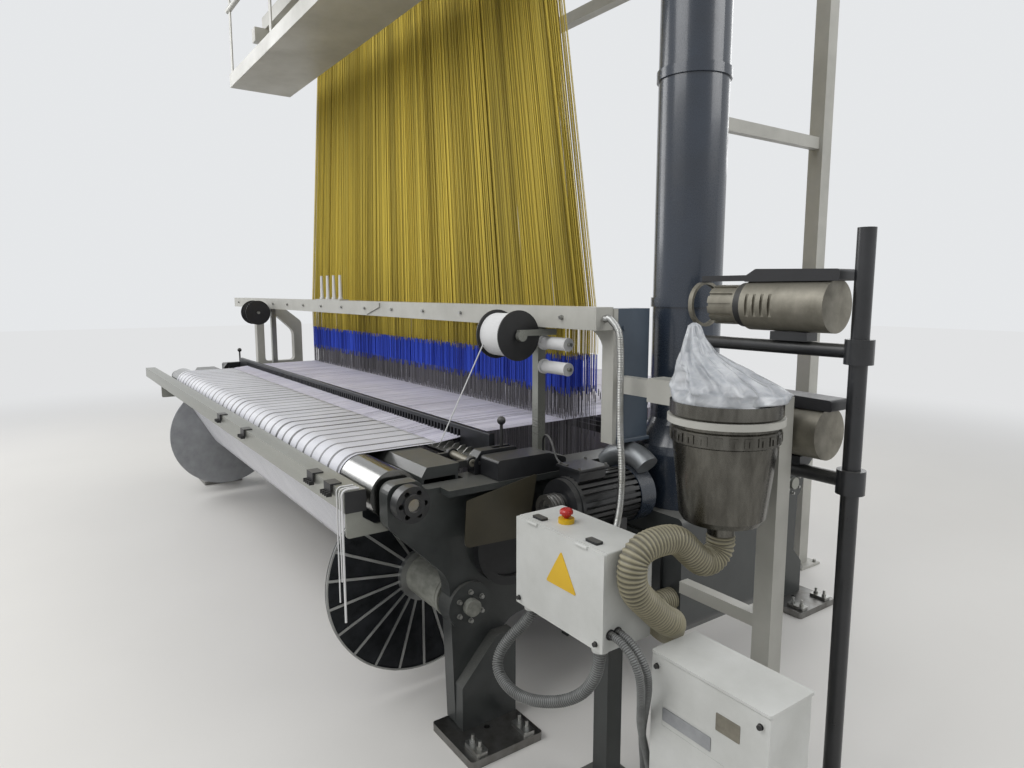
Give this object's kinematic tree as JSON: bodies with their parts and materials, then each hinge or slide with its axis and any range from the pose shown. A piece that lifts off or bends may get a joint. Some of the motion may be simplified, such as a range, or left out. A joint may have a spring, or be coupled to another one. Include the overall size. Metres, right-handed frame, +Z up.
{
  "type": "power loom",
  "caption": "Wide rapier power loom with a jacquard harness, its head on a gantry, cloth roll, control box, weft feeders and oil bucket.",
  "frame": {"origin": "on the floor, midway between the four floor anchors", "axes": "+X along the cloth's width to the drive end, +Y from the weaver's side to the warp beam, +Z up"},
  "size_m": [5.9723, 2.864, 4.3],
  "materials": {
    "casting": "painted dark grey-green, oily",
    "steel": "bare machined steel",
    "zinc": "zinc plated",
    "satin_alu": "satin anodised",
    "black_plastic": "smooth black moulding",
    "polished_steel": "ground and polished",
    "black_paint": "satin black, oily",
    "grip_cover": "gritty light covering strip",
    "white_fabric": "white satin with thin dark stripes",
    "grey_sheet": "brushed sheet",
    "reed_steel": "fine dark steel dents",
    "grey_paint": "light warm grey paint",
    "white_yarn": "white yarn, wound",
    "board": "varnished board",
    "yellow_cord": "mustard yellow harness cord",
    "blue_cord": "saturated blue harness cord",
    "heddle_wire": "bright wire with dark eyes",
    "warp_yarn": "pale lilac-white yarn",
    "slate_paint": "slate blue-grey, satin",
    "dark_blue_paint": "glossy dark blue-grey",
    "light_paint": "off-white powder coat",
    "yellow_plastic": "moulded yellow",
    "red_plastic": "moulded red",
    "stainless": "brushed with a polished rim",
    "film": "thin translucent film",
    "feeder_alu": "satin, worn",
    "khaki_hose": "corrugated, matt",
    "grey_conduit": "corrugated, matt"
  },
  "bodies": {
    "frame": {"side_frame_right": "casting", "side_frame_left": "casting", "cross_members": "casting", "foot_plates": "steel", "foot_clamps": "zinc", "front_rail": "satin_alu", "rail_fittings": "black_plastic", "cloth": "white_fabric", "rapier_guards": "black_paint", "crossbeam": "grey_paint", "beam_supports": "grey_paint", "yarn_pegs": "white_yarn", "spool_posts": "satin_alu", "comber_board": "board", "harness_yellow": "yellow_cord", "harness_blue": "blue_cord", "heddles": "heddle_wire", "spring_frame": "casting", "warp": "warp_yarn", "drop_wires": "heddle_wire", "end_cases": "casting", "column_cover": "slate_paint", "drive_guard": "dark_blue_paint", "jacquard_head": "grey_paint", "gantry": "grey_paint", "motor": "black_paint", "motor_cowl": "dark_blue_paint", "control_box": "light_paint", "box_stand": "casting", "stop_base": "yellow_plastic", "floor_cabinet": "light_paint", "bucket": "stainless", "bucket_bag": "film", "bucket_stand": "grey_paint", "feeder_cases": "feeder_alu", "feeder_stand": "black_paint", "bucket_hose": "khaki_hose", "box_conduit": "grey_conduit", "spiral_conduit": "zinc"},
    "cloth_roll": {"roll_core": "grip_cover", "roll_disc_right": "grey_sheet", "roll_disc_left": "grey_sheet", "wound_cloth": "white_fabric"},
    "breast_roll": {"breast_roller": "polished_steel", "roller_brake": "black_paint"},
    "sley_body": {"sley": "black_paint", "reed": "reed_steel"},
    "back_roll": {"back_rest": "polished_steel"},
    "warp_roll": {"warp_beam": "satin_alu", "wound_warp": "warp_yarn"},
    "pulley": {"motor_pulley": "steel"},
    "upright_shaft": {"drive_shaft": "steel"},
    "door": {"box_door": "light_paint"},
    "button": {"stop_button": "red_plastic"},
    "lever_right": {"start_lever_right": "black_plastic"},
    "lever_left": {"start_lever_left": "black_plastic"},
    "yarn_spool_right": {"spool_right": "white_yarn"},
    "yarn_spool_left": {"spool_left": "white_yarn"},
    "upper_flyer": {"flyer_upper": "black_plastic"},
    "lower_flyer": {"flyer_lower": "black_plastic"}
  },
  "joints": [
    {"name": "cloth_roll_turn", "type": "hinge", "parent": "frame", "child": "cloth_roll", "pos_m": [0, -0.95, 0.465], "axis": [1, 0, 0], "continuous": true},
    {"name": "breast_roller_turn", "type": "hinge", "parent": "frame", "child": "breast_roll", "pos_m": [0, -1.185, 0.8817], "axis": [1, 0, 0], "continuous": true},
    {"name": "sley_swing", "type": "hinge", "parent": "frame", "child": "sley_body", "pos_m": [0, -0.5, 0.425], "axis": [1, 0, 0], "range_deg": [0, 8]},
    {"name": "back_rest_turn", "type": "hinge", "parent": "frame", "child": "back_roll", "pos_m": [0, 1.18, 0.9297], "axis": [1, 0, 0], "continuous": true},
    {"name": "warp_beam_turn", "type": "hinge", "parent": "frame", "child": "warp_roll", "pos_m": [0, 0.95, 0.6], "axis": [1, 0, 0], "continuous": true},
    {"name": "motor_turn", "type": "hinge", "parent": "frame", "child": "pulley", "pos_m": [2.165, -0.72, 0.819], "axis": [0, 1, 0], "continuous": true},
    {"name": "drive_shaft_turn", "type": "hinge", "parent": "frame", "child": "upright_shaft", "pos_m": [2.192, -0.112, 2], "axis": [0, 0, 1], "continuous": true},
    {"name": "box_door_hinge", "type": "hinge", "parent": "frame", "child": "door", "pos_m": [2.495, -0.971, 0.877], "axis": [-1, 0, 0], "range_deg": [0, 110]},
    {"name": "stop_push", "type": "slide", "parent": "frame", "child": "button", "axis": [0, 0, -1], "range_m": [0, 0.005], "stiffness_N_per_m": 800},
    {"name": "start_lever_right_turn", "type": "hinge", "parent": "frame", "child": "lever_right", "pos_m": [1.894, -0.75, 0.963], "axis": [1, 0, 0], "range_deg": [-20, 20]},
    {"name": "start_lever_left_turn", "type": "hinge", "parent": "frame", "child": "lever_left", "pos_m": [-1.894, -0.75, 0.963], "axis": [1, 0, 0], "range_deg": [-20, 20]},
    {"name": "spool_right_turn", "type": "hinge", "parent": "frame", "child": "yarn_spool_right", "pos_m": [1.775, -0.64, 1.388], "axis": [1, 0, 0], "continuous": true},
    {"name": "spool_left_turn", "type": "hinge", "parent": "frame", "child": "yarn_spool_left", "pos_m": [-1.775, -0.64, 1.388], "axis": [1, 0, 0], "continuous": true},
    {"name": "upper_flyer_turn", "type": "hinge", "parent": "frame", "child": "upper_flyer", "pos_m": [2.6, -0.3, 1.511], "axis": [1, 0, 0], "continuous": true},
    {"name": "lower_flyer_turn", "type": "hinge", "parent": "frame", "child": "lower_flyer", "pos_m": [2.6, -0.3, 1.15], "axis": [1, 0, 0], "continuous": true}
  ],
  "couplings": [
    {"joint": "motor_turn", "follows": "drive_shaft_turn", "ratio": 4}
  ]
}
